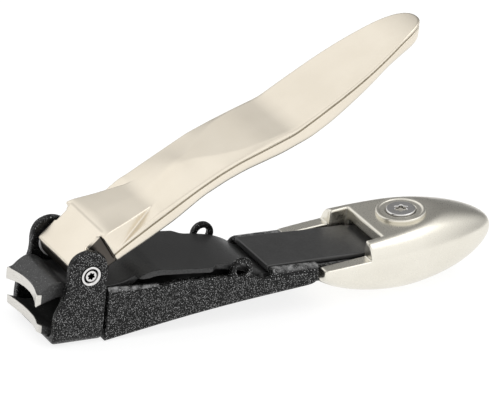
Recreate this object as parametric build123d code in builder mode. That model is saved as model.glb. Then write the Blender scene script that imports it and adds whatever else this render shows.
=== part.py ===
from build123d import *
import os
from math import atan, cos, pi, sin

# Compound-lever nail clipper with a wrap-around yoke, a clippings tray and an egg-shaped tail.
# +X runs from the blades to the tail, +Y across, +Z up. The origin is on the resting surface,
# below the middle of the length. Outlines are drawn in the side plane as
# (distance behind the pivot pin, height above a datum just below the resting surface).

# ---- driving dimensions (mm) ----
pin_x = -35.22            # pivot pin, in the part's own frame
datum = 0.2               # depth of the outlines' datum below the resting surface
pin_z = 12.4              # pivot pin above the datum
pin_radius = 1.5
running = 0.03            # radial clearance of the lever on its pin
head_radius = 1.68        # the two pivot heads, set in seats in the ears
head_seat = 0.45
head_proud = 0.12
head_play = 0.05
head_recess, head_recess_depth = 0.75, 0.5
thread_radius, thread_clear = 0.88, 0.02   # pivot screw in the bored barrel
thread_length, bore_start, bore_length = 9, 4, 12
spacer_radius, spacer_play = 2.6, 0.04     # nylon washers beside the hub

jaw_half = 5.65           # half width of both jaws
jaw_front = -8.46         # upper cutting edge, ahead of the pin
lower_front = -7.98       # lower cutting edge
edge_radius = 13.0        # concave cutting edges, seen from above
edge_hollow = 1.25        # depth of that hollow
upper_edge_z, lower_edge_z = 6.97, 4.17
arm = 1.0                 # thickness of the sprung arms
upper_arm_top = 7.4       # the two arms run level into the tail
lower_arm_bottom = 4.55
plate_half = 7.5          # the wide part of the upper arm
waist_half = 6.2          # its narrower part between the lugs
plate_relief = ((8, 8), (10.6, 8), (10.6, 10.4), (8, 10.4))
relief_play = 0.2         # the relief stops this far from the jaw's side

yoke_half = 7.7           # outside half width of the yoke and of the tray
yoke_wall = 1.4
yoke_bottom = datum
yoke_fillet = 2.2
ear_centre = (-0.55, 13.05)
ear_radius = 3.4

lever_half = 7.1
hub_half = 5.8            # the lever between the ears
hub_radius = 2.5
ear_clear = 4.6           # the wide part of the lever stays outside this radius
nose_half = 3.5           # the cam nose that presses on the upper arm

tray_front, tray_rear = 3.5, 42.3
tray_wall, tray_floor, tray_fillet = 1.1, 0.8, 0.5
tray_bottom = ((tray_front, 0.25), (22.4, 3.22), (41.0, 5.2))   # underside, an arc
floor_end = 24.0          # behind it the lower arm leaves through the floor
lip_half, lip_bottom = 5.85, 7.7  # shoulders beside the leaf
lug_x, lug_z = 27.72, 9.6
lug_radius, lug_hole = 1.97, 1.05
shoulder_start, crown_top, crown_end = 33.2, 9.0, 7.5
lip_start = 33.4
tab_front, tab_rear = 38, 49      # snap tabs behind the tray
tab_low, tab_low_rear, tab_high = 5.4, 5.6, 8.0
tab_root = 0.4            # depth of the tabs' joint with the tray's rear

leaf_half = 5.75
leaf_front = 33.3
leaf_under, leaf_over, leaf_drop = 7.75, 8.55, 0.3
spacer_low, spacer_high = 5.68, 6.3   # plate between the two arms
stack_end = 65.0          # rear end of the arms and of the leaf, inside the tail
tail_arm_half = 5.0
arm_play = 0.2            # beside the arms, in the pocket
arm_hole_shift, arm_hole_play = 0.8, 0.6
shoulder_x = 53.8         # where the arms narrow to enter the tail

egg_front, egg_tip = 42.8, 78.9
egg_wide_x, egg_half = 54.0, 9.12
egg_deep_x, egg_deep_ahead = 60.5, 18.67
egg_below, egg_above = 7.62, 5.57     # greatest depths under and over its middle line
egg_middle, egg_rise = 6.82, 0.05     # height of that line at the front, and its slope
egg_front_length = 40
egg_side_power, egg_deep_power = 0.54, 1.79
egg_section_power = 0.862
egg_upper_swell = 0.31    # the upper side keeps nearly its full height towards the front
egg_stations = (egg_front, 45.5, 49, 53, 57, 61, 65, 69, 72.5, 75.3, 77.2, 78.3, egg_tip - 0.1)
rest_x, rest_length = 60, 60
notch_floor = 4.0
notch_half, notch_mouth_half = 6.45, 5.9
step_x = 51.3             # front faces of the block behind the prongs
notch_rear = 54.55
pocket_rear = 65.6
lip_z, lip_depth = 9.45, 1.6
prong_z, prong_rise = 7.65, 0.104
top_z, top_rise = 11.0, 0.125     # the flat on top of the tail
screw_x = 61.4
washer_radius, washer_height, washer_chamfer = 4.3, 0.4, 0.25
screw_head, screw_shank = 2.5, 1.25
screw_head_height, screw_head_chamfer = 0.6, 0.2
screw_play = 0.05
screw_recess, screw_recess_depth = 1.1, 0.9
screw_end = 0.4           # the screw stops this far above the insert's far end
insert_radius, insert_depth, insert_length = 2.4, 8.3, 2.4

side = Plane(origin=(pin_x, 0, -datum), x_dir=(1, 0, 0), z_dir=(0, -1, 0))
plan = Plane(origin=(pin_x, 0, 0))
tilt = atan(top_rise)
screw_seat = Plane(
    origin=(pin_x + screw_x, 0, top_z + top_rise * (screw_x - step_x) - datum),
    x_dir=(cos(tilt), 0, sin(tilt)),
    z_dir=(-sin(tilt), 0, cos(tilt)),
)


os.makedirs("parts", exist_ok=True)


def save(part, name):
    part.label = name
    export_step(part, f"parts/{name}.step")


def side_at(y):
    """Side plane at a distance y from the middle; extrusions grow towards -Y."""
    return Plane(origin=(pin_x, y, -datum), x_dir=(1, 0, 0), z_dir=(0, -1, 0))


def cross_section(x, z):
    """Plane across the length, its origin at a distance x behind the pin and a height z."""
    return Plane(origin=(pin_x + x, 0, z), x_dir=(0, 1, 0), z_dir=(1, 0, 0))


def flat_top(x):
    """Height of the flat on top of the tail."""
    return top_z + top_rise * (x - step_x)


def prong_top(x):
    """Height of the top of the prongs."""
    return prong_z + prong_rise * (x - egg_front)


def side_shape(*points):
    """Closed polygon in the side plane."""
    with BuildSketch(side) as shape:
        Polygon(*points, align=None)
    return shape.sketch


def arm_plan(front, *outline):
    """Plan of a jaw: its outline's half, mirrored, less the hollow of the cutting edge."""
    with BuildSketch(plan) as shape:
        with BuildLine():
            edge = Polyline((front, 0), (front, jaw_half), *outline, (stack_end, 0))
            mirror(edge, about=Plane.XZ)
        make_face()
        with Locations((front + edge_hollow - edge_radius, 0)):
            Circle(edge_radius, mode=Mode.SUBTRACT)
        with Locations((screw_x + arm_hole_shift, 0)):
            Circle(screw_shank + arm_hole_play, mode=Mode.SUBTRACT)
    return shape.sketch


def screw_circle(radius, height=0.0):
    """Circle about the clamp screw's axis, at a height above its seat."""
    with BuildSketch(screw_seat.offset(height)) as shape:
        Circle(radius)
    return shape.sketch


def six_lobes(plane, centre, radius):
    """Outline of a six-lobe driver recess."""
    with BuildSketch(plane) as shape:
        with Locations(centre):
            Circle(0.75 * radius)
            with PolarLocations(0.75 * radius, 6):
                Circle(0.25 * radius)
    return shape.sketch


# ---- tail: egg-shaped bolster that clamps the arms ----
def rounded(value):
    """Height of a unit superellipse at a distance value from its middle."""
    return max(0.0, 1 - abs(value) ** egg_deep_power) ** (1 / egg_deep_power)


def egg_section(x, count=28):
    """Points around the tail at a distance x behind the pin."""
    length = egg_tip - egg_wide_x if x > egg_wide_x else egg_front_length
    half = egg_half * (1 - ((x - egg_wide_x) / length) ** 2) ** egg_side_power
    deep = (x - egg_deep_x) / (egg_tip - egg_deep_x if x > egg_deep_x else egg_deep_ahead)
    below = egg_below * rounded(deep)
    above = egg_above * rounded(deep if deep > 0 else egg_upper_swell * deep)
    middle = egg_middle - datum + egg_rise * (x - egg_front)
    for step in range(count):
        across = cos(2 * pi * (step + 0.5) / count)
        up = sin(2 * pi * (step + 0.5) / count)
        height = above if up > 0 else -below
        yield (
            half * abs(across) ** egg_section_power * (1 if across > 0 else -1),
            middle + height * abs(up) ** egg_section_power,
        )


with BuildPart() as bolster:
    for x in egg_stations:
        with BuildSketch(cross_section(x, 0)):
            with BuildLine():
                Spline(*egg_section(x), periodic=True)
            make_face()
    loft()
    # the flat on top, rising towards the rear, and the step down to the prongs
    flat = side_shape((30, flat_top(30)), (90, flat_top(90)), (90, 30), (30, 30))
    extrude(flat, amount=15, both=True, mode=Mode.SUBTRACT)
    prongs = side_shape((30, prong_top(30)), (step_x, prong_top(step_x)), (step_x, 30), (30, 30))
    extrude(prongs, amount=15, both=True, mode=Mode.SUBTRACT)
    # notch between the prongs, narrower through the block behind them
    notch = side_shape((40, notch_floor), (step_x, notch_floor), (step_x, 20), (40, 20))
    extrude(notch, amount=notch_half, both=True, mode=Mode.SUBTRACT)
    throat = side_shape(
        (step_x - 1, notch_floor), (notch_rear, notch_floor), (notch_rear, 20), (step_x - 1, 20),
    )
    extrude(throat, amount=notch_mouth_half, both=True, mode=Mode.SUBTRACT)
    # pocket for the rear ends of the arms, taller at its mouth
    pocket = side_shape(
        (50, notch_floor), (pocket_rear, notch_floor), (pocket_rear, leaf_over),
        (notch_rear + lip_depth, leaf_over), (notch_rear + lip_depth, lip_z), (50, lip_z),
    )
    extrude(pocket, amount=tail_arm_half + arm_play, both=True, mode=Mode.SUBTRACT)
    # hole for the clamp screw, and the bore of its threaded insert
    extrude(screw_circle(screw_shank + screw_play), amount=-insert_depth, mode=Mode.SUBTRACT)
    extrude(screw_circle(insert_radius, -insert_depth), amount=-insert_length, mode=Mode.SUBTRACT)
    # small flat that the tail rests on
    with BuildSketch(plan.offset(-5)):
        with Locations((rest_x, 0)):
            Rectangle(rest_length, 4 * egg_half)
    extrude(amount=5, mode=Mode.SUBTRACT)
save(bolster.part, "bolster")

with BuildPart() as bolster_washer:
    extrude(screw_circle(washer_radius), amount=washer_height)
    rim = bolster_washer.edges().filter_by(GeomType.CIRCLE).sort_by(Axis.Z)[-1]
    chamfer(rim, washer_chamfer)
    extrude(screw_circle(screw_shank + screw_play), amount=washer_height, mode=Mode.SUBTRACT)
save(bolster_washer.part, "bolster_washer")

with BuildPart() as bolster_screw:
    extrude(screw_circle(screw_head, washer_height), amount=screw_head_height)
    rim = bolster_screw.edges().filter_by(GeomType.CIRCLE).sort_by(Axis.Z)[-1]
    chamfer(rim, screw_head_chamfer)
    shank_length = washer_height + insert_depth + insert_length - screw_end
    extrude(screw_circle(screw_shank, washer_height), amount=-shank_length)
    recess = six_lobes(screw_seat.offset(washer_height + screw_head_height), (0, 0), screw_recess)
    extrude(recess, amount=-screw_recess_depth, mode=Mode.SUBTRACT)
save(bolster_screw.part, "bolster_screw")

with BuildPart() as bolster_insert:
    with BuildSketch(screw_seat.offset(-insert_depth)):
        Circle(insert_radius)
        Circle(screw_shank, mode=Mode.SUBTRACT)
    extrude(amount=-insert_length)
save(bolster_insert.part, "bolster_insert")

with BuildPart() as spacer_plate:
    slab = side_shape(
        (shoulder_x + 1, spacer_low), (stack_end, spacer_low), (stack_end, spacer_high),
        (shoulder_x + 1, spacer_high),
    )
    extrude(slab, amount=tail_arm_half + arm_play, both=True)
    extrude(screw_circle(screw_shank + screw_play), amount=-15, mode=Mode.SUBTRACT)
save(spacer_plate.part, "spacer_plate")

with BuildPart() as rear_leaf:
    leaf = side_shape(
        (leaf_front, leaf_over + leaf_drop), (step_x, leaf_over), (stack_end, leaf_over),
        (stack_end, leaf_under), (leaf_front, leaf_under),
    )
    extrude(leaf, amount=leaf_half, both=True)
    with BuildSketch(plan):
        with BuildLine():
            edge = Polyline(
                (leaf_front, 0), (leaf_front, leaf_half), (shoulder_x, leaf_half),
                (shoulder_x, tail_arm_half), (stack_end, tail_arm_half), (stack_end, 0),
            )
            mirror(edge, about=Plane.XZ)
        make_face()
    extrude(amount=20, mode=Mode.INTERSECT)
    extrude(screw_circle(screw_shank + screw_play), amount=-15, mode=Mode.SUBTRACT)
save(rear_leaf.part, "rear_leaf")

# ---- jaws: blade, beak and sprung arm in one piece ----
with BuildPart() as upper_jaw:
    with BuildSketch(side):
        with BuildLine():
            bevel = Polyline(
                (-1.8, 8.3), (-4.6, 8.3), (jaw_front, upper_edge_z), (jaw_front, 9.05), (-7.5, 9.25),
            )
            brow = Spline(bevel @ 1, (-6.2, 10.45), (-4.7, 10.95), (-3.2, 10.55), (-1.8, 9.4))
            rise = Spline(
                brow @ 1, (1, 9.25), (6.2, 9.3), (8.2, 10.0), (9.6, 11.2), (11.6, 11.68), (17, 11.15),
                (21.5, 10.75), (25.2, 10.4), (29, 9.65), (31.2, 8.7), (33.2, 7.5), (35, upper_arm_top),
            )
            tail = Polyline(
                rise @ 1, (stack_end, upper_arm_top), (stack_end, upper_arm_top - arm),
                (34.7, upper_arm_top - arm),
            )
            Spline(
                tail @ 1, (32.8, 6.55), (30.4, 7.8), (28.5, 8.75), (25, 9.5), (21.3, 9.95), (17, 10.3),
                (12.2, 10.68), (10.2, 10.3), (8.6, 8.8), (6.6, 8.25), (1, 8.2), (-1.8, 8.3),
            )
        make_face()
    extrude(amount=plate_half, both=True)
    outline = arm_plan(
        jaw_front, (8.7, jaw_half), (9.3, plate_half - 0.5), (9.8, plate_half), (22.2, plate_half),
        (23.4, waist_half), (32.2, waist_half), (32.8, jaw_half), (shoulder_x, jaw_half),
        (shoulder_x, tail_arm_half), (stack_end, tail_arm_half),
    )
    extrude(outline, amount=20, mode=Mode.INTERSECT)
    # relief under the plate's front corners, which clears the tray's rim as the jaw closes
    relief = side_shape(*plate_relief)
    relief_width = plate_half - jaw_half - relief_play
    for y in (plate_half, relief_width - plate_half):
        extrude(relief.moved(Location((0, y, 0))), amount=relief_width, mode=Mode.SUBTRACT)
save(upper_jaw.part, "upper_jaw")

with BuildPart() as lower_jaw:
    with BuildSketch(side):
        with BuildLine():
            heel = Line((-4.4, yoke_bottom + yoke_wall), (3.5, yoke_bottom + yoke_wall))
            under = Spline(
                heel @ 1, (8, 1.95), (12, 2.65), (17, 3.35), (21, 4.0), (24.5, 4.35), (29, 4.38),
                (36, 4.45), (42, lower_arm_bottom), tangents=((1, 0), (1, 0)),
            )
            rear = Polyline(
                under @ 1, (stack_end, lower_arm_bottom), (stack_end, lower_arm_bottom + arm),
                (42, lower_arm_bottom + arm),
            )
            over = Spline(
                rear @ 1, (36, 5.4), (29, 5.32), (24.5, 5.3), (21, 4.98), (17, 4.35), (12, 3.65),
                (8, 3.05), (3.5, 2.85), tangents=((-1, 0), (-1, 0)),
            )
            blade = Polyline(
                over @ 1, (-4.6, 2.85), (lower_front, lower_edge_z), (lower_front + 0.12, 2.7), (-7.1, 2.2),
            )
            ThreePointArc(blade @ 1, (-6.0, 1.75), heel @ 0)
        make_face()
    extrude(amount=jaw_half, both=True)
    outline = arm_plan(
        lower_front, (shoulder_x, jaw_half), (shoulder_x, tail_arm_half), (stack_end, tail_arm_half),
    )
    extrude(outline, amount=20, mode=Mode.INTERSECT)
save(lower_jaw.part, "lower_jaw")

# ---- yoke: wraps under the lower jaw, and its two ears carry the pin ----
with BuildPart() as yoke:
    with BuildSketch(side):
        with BuildLine():
            ear = CenterArc(ear_centre, ear_radius, 0, 180)
            front = Spline(
                ear @ 1, (-3.75, 11.3), (-4.1, 9.8), (-4.7, 7.6), (-5.6, 5.9), (-5.8, 4.2),
                tangents=((0, -1), (0, -1)),
            )
            Polyline(front @ 1, (-5.8, yoke_bottom), (3.05, yoke_bottom), (3.05, 12), ear @ 0)
        make_face()
    extrude(amount=yoke_half, both=True)
    fillet(yoke.edges().filter_by(Axis.X).group_by(Axis.Z)[0], yoke_fillet)
    inside = side_shape(
        (-12, yoke_bottom + yoke_wall), (12, yoke_bottom + yoke_wall), (12, 25), (-12, 25),
    )
    extrude(inside, amount=yoke_half - yoke_wall, both=True, mode=Mode.SUBTRACT)
    with BuildSketch(side):
        with Locations((0, pin_z)):
            Circle(pin_radius)
    extrude(amount=yoke_half + 1, both=True, mode=Mode.SUBTRACT)
    for y in (head_seat - yoke_half, yoke_half):
        with BuildSketch(side_at(y)):
            with Locations((0, pin_z)):
                Circle(head_radius + head_play)
        extrude(amount=head_seat, mode=Mode.SUBTRACT)
save(yoke.part, "yoke")

# ---- pivot: a barrel with its head in the far ear, and a screw with its head in the near ear ----
with BuildPart() as pivot_barrel:
    with BuildSketch(side_at(yoke_half + head_proud)):
        with Locations((0, pin_z)):
            Circle(head_radius)
    extrude(amount=head_proud + head_seat)
    with BuildSketch(side_at(yoke_half - head_seat)):
        with Locations((0, pin_z)):
            Circle(pin_radius)
    extrude(amount=2 * (yoke_half - head_seat))
    with BuildSketch(side_at(bore_start)):
        with Locations((0, pin_z)):
            Circle(thread_radius + thread_clear)
    extrude(amount=bore_length, mode=Mode.SUBTRACT)
    recess = six_lobes(side_at(yoke_half + head_proud), (0, pin_z), head_recess)
    extrude(recess, amount=head_recess_depth, mode=Mode.SUBTRACT)
save(pivot_barrel.part, "pivot_barrel")

with BuildPart() as pivot_screw:
    with BuildSketch(side_at(head_seat - yoke_half)):
        with Locations((0, pin_z)):
            Circle(head_radius)
    extrude(amount=head_proud + head_seat)
    with BuildSketch(side_at(head_seat - yoke_half)):
        with Locations((0, pin_z)):
            Circle(thread_radius)
    extrude(amount=-thread_length)
    recess = six_lobes(side_at(head_recess_depth - yoke_half - head_proud), (0, pin_z), head_recess)
    extrude(recess, amount=head_recess_depth, mode=Mode.SUBTRACT)
save(pivot_screw.part, "pivot_screw")

with BuildPart() as pivot_washers:
    for y in (yoke_half - yoke_wall, -hub_half - spacer_play):
        with BuildSketch(side_at(y)):
            with Locations((0, pin_z)):
                Circle(spacer_radius)
                Circle(pin_radius, mode=Mode.SUBTRACT)
        extrude(amount=yoke_half - yoke_wall - hub_half - spacer_play)
save(pivot_washers.part, "pivot_washers")

# ---- clippings tray: a channel around the lower arm, with two pierced lugs ----
with BuildPart() as catcher_tray:
    with BuildSketch(side):
        with BuildLine():
            underside = ThreePointArc(*tray_bottom)
            corner = ThreePointArc(underside @ 1, (42.0, 5.6), (tray_rear, 6.5))
            Polyline(
                corner @ 1, (tray_rear, 8.45), (33.7, 8.75), (33.0, 7.35), (31.6, 7.55), (29.9, 8.35),
                (23.4, 9.0), (15.2, 9.25), (13.1, 8.85), (12.6, 9.1), (8, 9.3), (tray_front, 9.5),
                underside @ 0,
            )
        make_face()
        with Locations((lug_x, lug_z)):
            Circle(lug_radius)
        with Locations((lug_x, lug_z - 1)):
            Rectangle(2 * lug_radius, 2)
    extrude(amount=yoke_half, both=True)
    underneath = catcher_tray.faces().sort_by(Axis.Z)[0]
    fillet(underneath.edges().filter_by(lambda edge: edge.length > 20), tray_fillet)
    # rounded shoulders beside the leaf
    with BuildSketch(cross_section(shoulder_start, -datum)):
        with BuildLine():
            crown = ThreePointArc((6.3, crown_top), (7.3, 8.5), (yoke_half, crown_end))
            Polyline(crown @ 1, (9, crown_end), (9, crown_top), crown @ 0)
        make_face()
        mirror(about=Plane.XZ)
    extrude(amount=12, mode=Mode.SUBTRACT)
    with BuildSketch(side):
        with BuildLine():
            floor = ThreePointArc(*((x, z + tray_floor) for x, z in tray_bottom))
            Polyline(floor @ 1, (50, 6), (50, 20), (0, 20), (0, 1.0), floor @ 0)
        make_face()
        Polygon((floor_end, 0), (50, 0), (50, 7), (floor_end, 7), align=None)
        Polygon(
            (lip_start, lip_bottom), (50, lip_bottom), (50, 20), (lip_start, 20),
            align=None, mode=Mode.SUBTRACT,
        )
    extrude(amount=yoke_half - tray_wall, both=True, mode=Mode.SUBTRACT)
    over_lip = side_shape((33, lip_bottom - 0.1), (50, lip_bottom - 0.1), (50, 20), (33, 20))
    extrude(over_lip, amount=lip_half, both=True, mode=Mode.SUBTRACT)
    # tabs that run back between the tail's prongs and clip there
    root_end = tray_rear - tab_root
    for rear, outer_half in ((tab_rear, notch_half), (root_end, yoke_half - tray_wall)):
        tab = side_shape(
            (tab_front, tab_low), (rear, tab_low_rear), (rear, tab_high), (tab_front, tab_high),
        )
        for y in (outer_half, -lip_half):
            extrude(tab.moved(Location((0, y, 0))), amount=outer_half - lip_half)
    with BuildSketch(side):
        with Locations((lug_x, lug_z)):
            Circle(lug_hole)
    extrude(amount=yoke_half + 1, both=True, mode=Mode.SUBTRACT)
save(catcher_tray.part, "catcher_tray")

# ---- lever: front plate, shoulders and an S-shaped arm; a hub and a cam nose between the ears ----
with BuildPart() as lever:
    with BuildSketch(side):
        with BuildLine():
            face = Polyline((-2.9, 12.9), (-3.3, 13.8), (2.3, 19.05))
            back = Spline(
                face @ 1, (12, 22.1), (19.5, 26.5), (28.8, 30.9), (35.2, 33.4), (43.8, 38.6),
                (53.9, 45.2), (58.6, 48.4),
            )
            tip = ThreePointArc(back @ 1, (60.1, 46.6), (59.6, 44.0))
            under = Spline(
                tip @ 1, (52.2, 40.6), (46.8, 37.0), (38.4, 31.3), (27, 27.2), (19.5, 23.3),
                (12.6, 18.4), (4.7, 13.7),
            )
            Line(under @ 1, face @ 0)
        make_face()
    extrude(amount=lever_half, both=True)
    # room for the ears
    with BuildSketch(side):
        with Locations((0, pin_z)):
            Circle(ear_clear)
        Polygon((-9, 11), (0.6, 11), (0.6, 17.4), (-9, 17.4), align=None)
    extrude(amount=lever_half, both=True, mode=Mode.SUBTRACT)
    # hub between the ears, with the front plate's lip
    with BuildSketch(side):
        Polygon(
            (-2.9, 12.9), (-3.3, 13.8), (2.3, 19.05), (6.2, 15.0), (5.6, 13.1), (3.8, 12.6), (0, 10.4),
            align=None,
        )
        with Locations((0, pin_z)):
            Circle(hub_radius)
    extrude(amount=hub_half, both=True)
    with BuildSketch(side):
        with BuildLine():
            nose = Polyline((1.5, 13.5), (5.4, 13.5), (5.4, 11.0))
            ThreePointArc(nose @ 1, (4.6, 10.05), (3.7, 10.6))
            Line((3.7, 10.6), nose @ 0)
        make_face()
    extrude(amount=nose_half, both=True)
    # seen from above: straight sides, then a long rounded point
    with BuildSketch(plan):
        with Locations((18, 0)):
            Rectangle(44, 2 * lever_half)
        with Locations((40, 0)):
            Ellipse(20.2, lever_half)
    extrude(amount=60, mode=Mode.INTERSECT)
    with BuildSketch(side):
        with Locations((0, pin_z)):
            Circle(pin_radius + running)
    extrude(amount=lever_half + 1, both=True, mode=Mode.SUBTRACT)
save(lever.part, "lever")
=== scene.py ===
from functools import partial
from math import atan, cos, sin

import bpy
import numpy as np
from mathutils import Matrix, Vector


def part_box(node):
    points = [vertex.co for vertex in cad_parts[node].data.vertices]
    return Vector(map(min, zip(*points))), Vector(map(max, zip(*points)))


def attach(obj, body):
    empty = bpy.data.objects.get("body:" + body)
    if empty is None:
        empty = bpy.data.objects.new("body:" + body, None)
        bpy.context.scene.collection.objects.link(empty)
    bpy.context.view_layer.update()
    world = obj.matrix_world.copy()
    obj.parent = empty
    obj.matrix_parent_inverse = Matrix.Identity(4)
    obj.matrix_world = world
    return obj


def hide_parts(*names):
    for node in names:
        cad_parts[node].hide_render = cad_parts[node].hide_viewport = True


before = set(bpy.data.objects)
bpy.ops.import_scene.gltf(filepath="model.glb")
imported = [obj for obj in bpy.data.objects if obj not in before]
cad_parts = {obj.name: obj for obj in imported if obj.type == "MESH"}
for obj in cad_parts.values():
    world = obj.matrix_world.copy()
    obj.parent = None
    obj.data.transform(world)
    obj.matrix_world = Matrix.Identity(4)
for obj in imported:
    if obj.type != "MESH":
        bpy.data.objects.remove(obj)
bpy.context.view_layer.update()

# Visual model of the nail clipper. The shapes are distance fields in mm, negative inside, drawn in
# the CAD's side plane: x behind the pivot pin, y across, z above a datum 0.2 mm under the floor.
# surface() turns a field into a mesh, and moves it to the frame. The last number in a call of
# both(), either() or less() is the radius of the edges or corners that it makes.

DATUM = 0.2
PIN_Z = 12.4
pin_low, pin_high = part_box("pivot_barrel")
PIN_X = 1000 * (pin_low.x + pin_high.x) / 2


# ---- outlines and distance fields ----
CURVE_STEPS = 7


def outline(*points):
    """Closed outline through (x, z) points.

    At a point (x, z, cut) the corner is a curve that reaches as far as cut along both its sides.
    """
    line = []
    for i, point in enumerate(points):
        corner = np.array(point[:2], float)
        if len(point) == 2:
            line.append(corner)
            continue
        before = np.array(points[i - 1][:2], float) - corner
        after = np.array(points[(i + 1) % len(points)][:2], float) - corner
        start = corner + before * min(point[2] / np.hypot(*before), 0.5)
        end = corner + after * min(point[2] / np.hypot(*after), 0.5)
        for t in np.linspace(0, 1, CURVE_STEPS):
            line.append((1 - t) ** 2 * start + 2 * t * (1 - t) * corner + t * t * end)
    return np.array(line)


def plan_outline(*half):
    """Outline in plan, from the points of one half."""
    return outline(*half, *((x, -y, *cut) for x, y, *cut in reversed(half)))


def polygon(line, u, v):
    """Signed distance from (u, v) to a closed outline."""
    u, v = np.broadcast_arrays(u, v)
    nearest = np.full(u.shape, np.inf)
    inside = np.zeros(u.shape, bool)
    for (u0, v0), (u1, v1) in zip(line, np.roll(line, -1, 0)):
        du, dv = u1 - u0, v1 - v0
        length = du * du + dv * dv
        if length < 1e-12:
            continue
        t = np.clip(((u - u0) * du + (v - v0) * dv) / length, 0, 1)
        nearest = np.minimum(nearest, (u - u0 - t * du) ** 2 + (v - v0 - t * dv) ** 2)
        if dv:
            inside ^= ((v0 > v) != (v1 > v)) & (u < u0 + (v - v0) * du / dv)
    return np.where(inside, -1, 1) * np.sqrt(nearest)


def along(x, points, cut=1.2):
    """Height of a line through (x, height) points, its bends rounded over cut to each side."""
    bends = [(*point, cut) for point in points[1:-1]]
    line = outline(points[0], *bends, points[-1])
    return np.interp(x, line[:, 0], line[:, 1])


def both(a, b, r=0.25):
    """Intersection of two solids, its outer edges rounded to radius r."""
    return np.minimum(np.maximum(a, b), -r) + np.hypot(np.maximum(a + r, 0), np.maximum(b + r, 0))


def either(a, b, r=0.2):
    """Union of two solids, its inner corners filled to radius r."""
    return -both(-a, -b, r)


def less(a, b, r=0.25):
    """The first solid without the second."""
    return both(a, -b, r)


def slab(value, low, high):
    """Between two parallel planes."""
    return np.maximum(low - value, value - high)


def from_pin(x, z):
    """Distance from the pivot's axis."""
    return np.hypot(x, z - PIN_Z)


def sample(grid, at):
    """Trilinear values of a grid at points given in cells."""
    low = np.clip(np.floor(at).astype(int), 0, np.array(grid.shape) - 2)
    part = at - low
    total = 0
    for corner in np.ndindex(2, 2, 2):
        weight = np.prod([part[:, k] if corner[k] else 1 - part[:, k] for k in range(3)], axis=0)
        total = total + weight * grid[tuple((low + corner).T)]
    return total


def surface(name, field, low, high, cell):
    """Smooth mesh of a field's zero level inside a box, by surface nets."""
    axes = [np.arange(a - 2 * cell, b + 3 * cell, cell) for a, b in zip(low, high)]
    shape = tuple(len(axis) for axis in axes)
    grid = np.meshgrid(*axes, indexing="ij", sparse=True)
    value = np.array(np.broadcast_to(field(*grid), shape), dtype=np.float32)
    # the outermost layer is empty, so that the mesh is closed
    for axis in range(3):
        for face in (0, -1):
            value[tuple(face if k == axis else slice(None) for k in range(3))] = cell
    # one quad for each grid edge that crosses the surface, with a corner in each cell around it
    strides = np.array([shape[1] * shape[2], shape[2], 1])
    units = np.eye(3, dtype=int)
    cells, places, quads = [], [], []
    for axis in range(3):
        step, side, other = units[axis], units[(axis + 1) % 3], units[(axis + 2) % 3]
        first = value[tuple(slice(0, n - step[k]) for k, n in enumerate(shape))]
        second = value[tuple(slice(step[k], n) for k, n in enumerate(shape))]
        cut = np.argwhere((first < 0) != (second < 0))
        a = first[tuple(cut.T)]
        b = second[tuple(cut.T)]
        place = cut + np.outer(a / (a - b), step)
        corners = [
            (cut - i * side - j * other) @ strides for i, j in ((1, 1), (0, 1), (0, 0), (1, 0))
        ]
        cells += corners
        places += [place] * 4
        ring = np.stack(corners, 1)
        quads.append(np.where((a < 0)[:, None], ring, ring[:, ::-1]))
    # each cell's vertex starts at the mean of its crossings, and then moves onto the surface
    used, index = np.unique(np.concatenate(cells), return_inverse=True)
    places = np.concatenate(places)
    count = np.bincount(index)
    at = np.stack([np.bincount(index, places[:, k]) / count for k in range(3)], 1)
    slope = np.gradient(value)
    for _ in range(2):
        normal = np.stack([sample(part, at) for part in slope], 1)
        squared = np.maximum((normal ** 2).sum(1), 1e-4 * cell ** 2)
        at = at - normal * np.clip(sample(value, at) / squared, -0.5, 0.5)[:, None]
    normal = np.stack([sample(part, at) for part in slope], 1)
    normal /= np.maximum(np.linalg.norm(normal, axis=1), 1e-9)[:, None]
    points = at * cell + np.array([axis[0] for axis in axes])
    points = (points + np.array([PIN_X, 0, -DATUM])) / 1000
    faces = np.searchsorted(used, np.concatenate(quads))
    mesh = bpy.data.meshes.new(name)
    mesh.from_pydata(points, [], faces)
    mesh.shade_smooth()
    mesh.normals_split_custom_set_from_vertices(normal)
    piece = bpy.data.objects.new(name, mesh)
    bpy.context.scene.collection.objects.link(piece)
    return piece


# ---- shader nodes ----
# A colour is one number for a grey, or three. Lengths are in mm. owner is a material or the world.
def new_material(name, metallic=0.0):
    """New material, its Principled shader and its coordinates."""
    material = bpy.data.materials.new(name)
    material.use_nodes = True
    nodes = material.node_tree.nodes
    shader = nodes["Principled BSDF"]
    shader.inputs["Metallic"].default_value = metallic
    place = nodes.new("ShaderNodeTexCoord")
    scale = nodes.new("ShaderNodeVectorMath")
    scale.name = "Millimetres"
    scale.operation = "SCALE"
    scale.inputs["Scale"].default_value = 1000
    material.node_tree.links.new(place.outputs["Object"], scale.inputs[0])
    return material, shader, scale.outputs[0]


def coordinates(material):
    """The coordinates of a material made by new_material()."""
    return material.node_tree.nodes["Millimetres"].outputs[0]


def noise(material, vector, scale, detail, stretch=None):
    """Noise from 0 to 1, with scale features to the mm, times stretch along each axis."""
    nodes, links = material.node_tree.nodes, material.node_tree.links
    if stretch:
        mapping = nodes.new("ShaderNodeMapping")
        mapping.inputs["Scale"].default_value = stretch
        links.new(vector, mapping.inputs["Vector"])
        vector = mapping.outputs[0]
    node = nodes.new("ShaderNodeTexNoise")
    node.inputs["Scale"].default_value = scale
    node.inputs["Detail"].default_value = detail
    links.new(vector, node.inputs["Vector"])
    return node.outputs["Fac"]


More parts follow.
